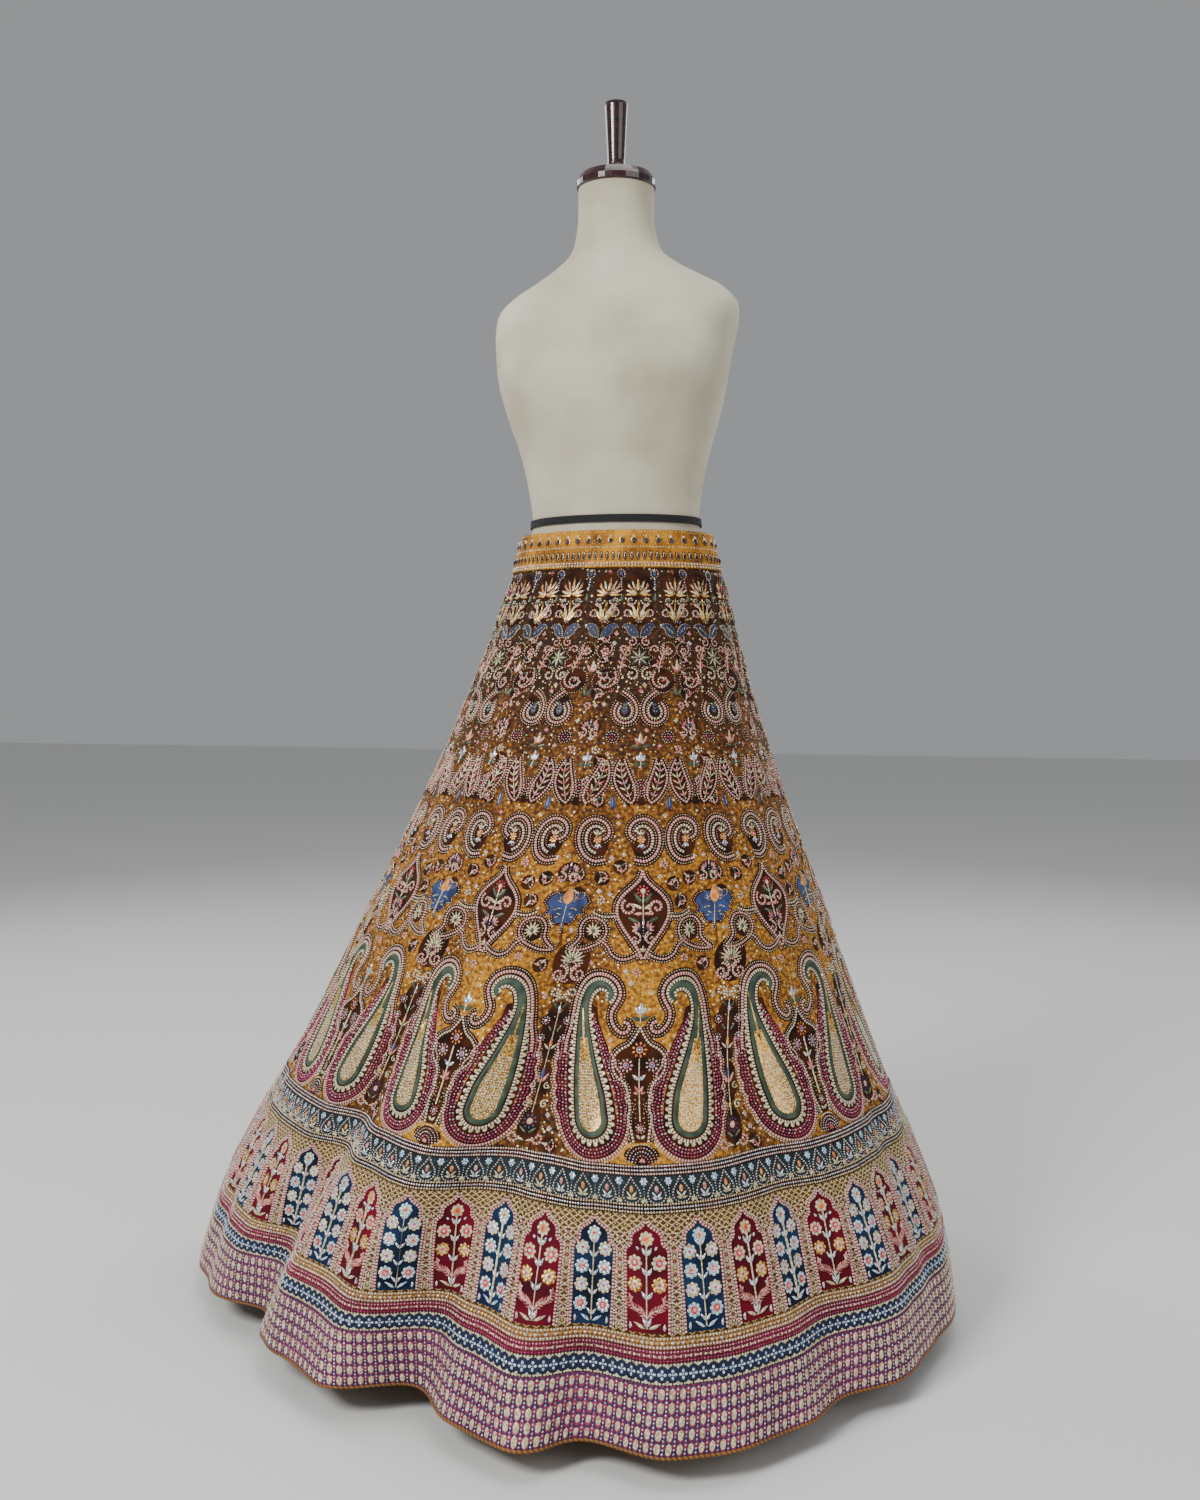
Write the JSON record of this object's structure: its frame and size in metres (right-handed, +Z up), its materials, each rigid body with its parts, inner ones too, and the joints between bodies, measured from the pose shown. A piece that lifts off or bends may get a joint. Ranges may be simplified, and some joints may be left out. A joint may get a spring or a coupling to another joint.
{
  "type": "lehenga skirt on a dress form",
  "caption": "Flared floor-length lehenga skirt of panelled velvet with paisleys and arched borders, on a limbless dress form with a neck cap, handle, pole and round base",
  "frame": {"origin": "centre of the round base's underside, on the floor and under the form's axis", "axes": "+Z up along the form's axis, the form faces -Y, +X is at the right of someone who faces the form's front"},
  "size_m": [1.0012, 0.9592, 1.579],
  "materials": {
    "ochre_velvet": "ochre velvet with dense gold, cream, magenta, green and blue bead embroidery",
    "teal_velvet": "dark teal velvet with pearl bead drops",
    "gold_lattice": "gold ground with a cream bead lattice, maroon and navy velvet arches",
    "gold_braid": "gold beaded braid and piping",
    "maroon_velvet": "maroon velvet strip with silver and magenta beadwork",
    "navy_velvet": "navy velvet strip with silver bead diamonds",
    "mauve_velvet": "mauve velvet with columns of cream ovals and silver beads",
    "form_cover": "cream cotton cover stretched over a padded form",
    "black_tape": "matte black cotton tape",
    "lacquered_wood": "dark maroon-brown lacquered turned wood",
    "steel_pole": "brushed steel tube",
    "black_metal": "black powder-coated steel"
  },
  "bodies": {
    "root": {"kali_01": "ochre_velvet", "kali_02": "ochre_velvet", "kali_03": "ochre_velvet", "kali_04": "ochre_velvet", "kali_05": "ochre_velvet", "kali_06": "ochre_velvet", "kali_07": "ochre_velvet", "kali_08": "ochre_velvet", "kali_09": "ochre_velvet", "kali_10": "ochre_velvet", "waistband": "ochre_velvet", "teal_border": "teal_velvet", "arch_border": "gold_lattice", "gold_braid": "gold_braid", "maroon_border": "maroon_velvet", "navy_border": "navy_velvet", "hem_border": "mauve_velvet", "hem_piping": "gold_braid", "form_torso": "form_cover", "form_waist_tape": "black_tape", "neck_cap": "lacquered_wood", "neck_handle": "lacquered_wood", "stand_pole": "steel_pole", "stand_base": "black_metal"}
  },
  "joints": []
}
